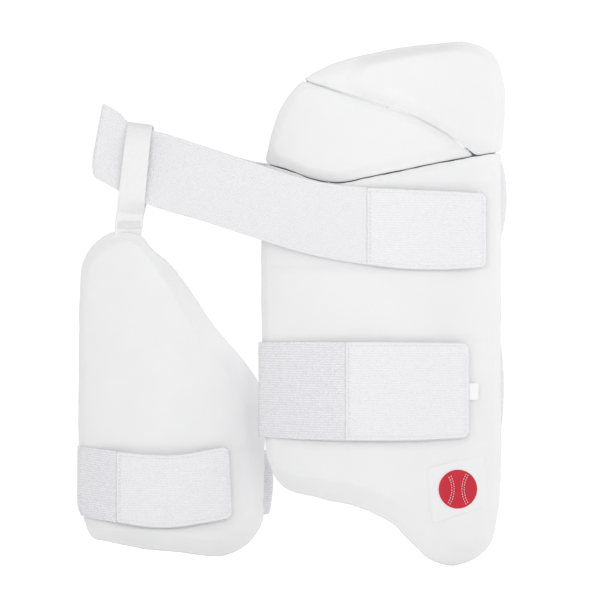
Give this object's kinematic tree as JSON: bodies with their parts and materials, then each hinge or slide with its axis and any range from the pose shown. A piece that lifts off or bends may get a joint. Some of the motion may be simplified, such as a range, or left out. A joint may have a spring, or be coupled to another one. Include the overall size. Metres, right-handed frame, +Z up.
{
  "type": "cricket thigh guard set",
  "caption": "Outer thigh pad with a hinged hip section, inner thigh pad hung on a webbing carrier, and an elastic waist belt and thigh straps with peel tabs",
  "frame": {"origin": "in the leg space behind the outer pad, on its middle, at mid height of the thigh strap", "axes": "+Z up the leg, pads face -Y, +X to the wearer's outer side"},
  "size_m": [0.336, 0.1345, 0.4023],
  "materials": {
    "cover": "matte coated stretch fabric, fine grain",
    "elastic": "terry-faced knitted elastic",
    "tab_terry": "terry-faced tab with stitched border",
    "webbing": "plain woven webbing",
    "binding": "folded binding tape and seam fabric",
    "liner": "brushed towelling",
    "hook": "hook tape",
    "loop": "loop tape",
    "foam": "closed-cell foam",
    "shield": "moulded plastic sheet",
    "badge": "smooth transfer patch",
    "motif": "printed film, satin",
    "label": "woven satin label, blank"
  },
  "bodies": {
    "outer_pad": {"outer_front_cover": "cover", "outer_foam_core": "foam", "outer_shield_plate": "shield", "outer_comfort_foam": "foam", "outer_liner": "liner", "outer_edge_binding": "binding", "badge_patch": "badge", "badge_motif": "motif", "waist_loop_patch": "loop", "thigh_loop_patch": "loop", "waist_belt": "elastic", "waist_belt_anchor": "liner", "thigh_strap": "elastic", "thigh_strap_anchor": "liner", "hip_gusset": "binding"},
    "hip_lower": {"hip_lower_cover": "cover", "hip_lower_foam": "foam", "hip_lower_liner": "liner", "crest_gusset": "binding"},
    "hip_upper": {"hip_upper_cover": "cover", "hip_upper_foam": "foam", "hip_upper_liner": "liner"},
    "waist_tab": {"waist_tab": "tab_terry", "waist_hook_pad": "hook"},
    "thigh_tab": {"thigh_tab": "tab_terry", "thigh_hook_pad": "hook", "care_label": "label"},
    "carrier_loop": {"carrier_loop": "webbing", "carrier_bar_tack": "webbing"},
    "carrier_tail": {"carrier_tail": "webbing"},
    "inner_pad": {"inner_front_cover": "cover", "inner_foam_core": "foam", "inner_shield_plate": "shield", "inner_comfort_foam": "foam", "inner_liner": "liner", "inner_edge_binding": "binding", "inner_strap": "elastic", "inner_strap_anchor": "liner", "inner_loop_patch": "loop"},
    "inner_tab": {"inner_tab": "tab_terry", "inner_hook_pad": "hook"}
  },
  "joints": [
    {"name": "hip_flex", "type": "hinge", "parent": "outer_pad", "child": "hip_lower", "pos_m": [-0.0375, 0.0095, 0.1617], "axis": [-0.9838, 0, -0.179], "range_deg": [0, 10], "stiffness_Nm_per_rad": 2},
    {"name": "crest_flex", "type": "hinge", "parent": "hip_lower", "child": "hip_upper", "pos_m": [-0.0612, 0.0095, 0.241], "axis": [-0.9198, 0, 0.3924], "range_deg": [0, 10], "stiffness_Nm_per_rad": 2},
    {"name": "waist_tab_peel", "type": "hinge", "parent": "outer_pad", "child": "waist_tab", "pos_m": [-0.01064, -0.05948, 0.1265], "axis": [0, 0, -1], "range_deg": [0, 100]},
    {"name": "thigh_tab_peel", "type": "hinge", "parent": "outer_pad", "child": "thigh_tab", "pos_m": [-0.02737, -0.0571, 0.0015], "axis": [0, 0, -1], "range_deg": [0, 100]},
    {"name": "loop_slide", "type": "slide", "parent": "outer_pad", "child": "carrier_loop", "axis": [0.9636, -0.1156, -0.2409], "range_m": [0, 0.006]},
    {"name": "inner_swing", "type": "hinge", "parent": "carrier_loop", "child": "carrier_tail", "pos_m": [-0.19539, 0.011, 0.133], "axis": [0, 1, 0], "range_deg": [-1, 22]},
    {"name": "inner_tilt", "type": "hinge", "parent": "carrier_tail", "child": "inner_pad", "pos_m": [-0.1965, 0.011, 0.123], "axis": [1, 0, 0], "range_deg": [-1, 40]},
    {"name": "inner_tab_peel", "type": "hinge", "parent": "inner_pad", "child": "inner_tab", "pos_m": [-0.20477, -0.00028, -0.074], "axis": [0, 0, -1], "range_deg": [0, 100]}
  ]
}
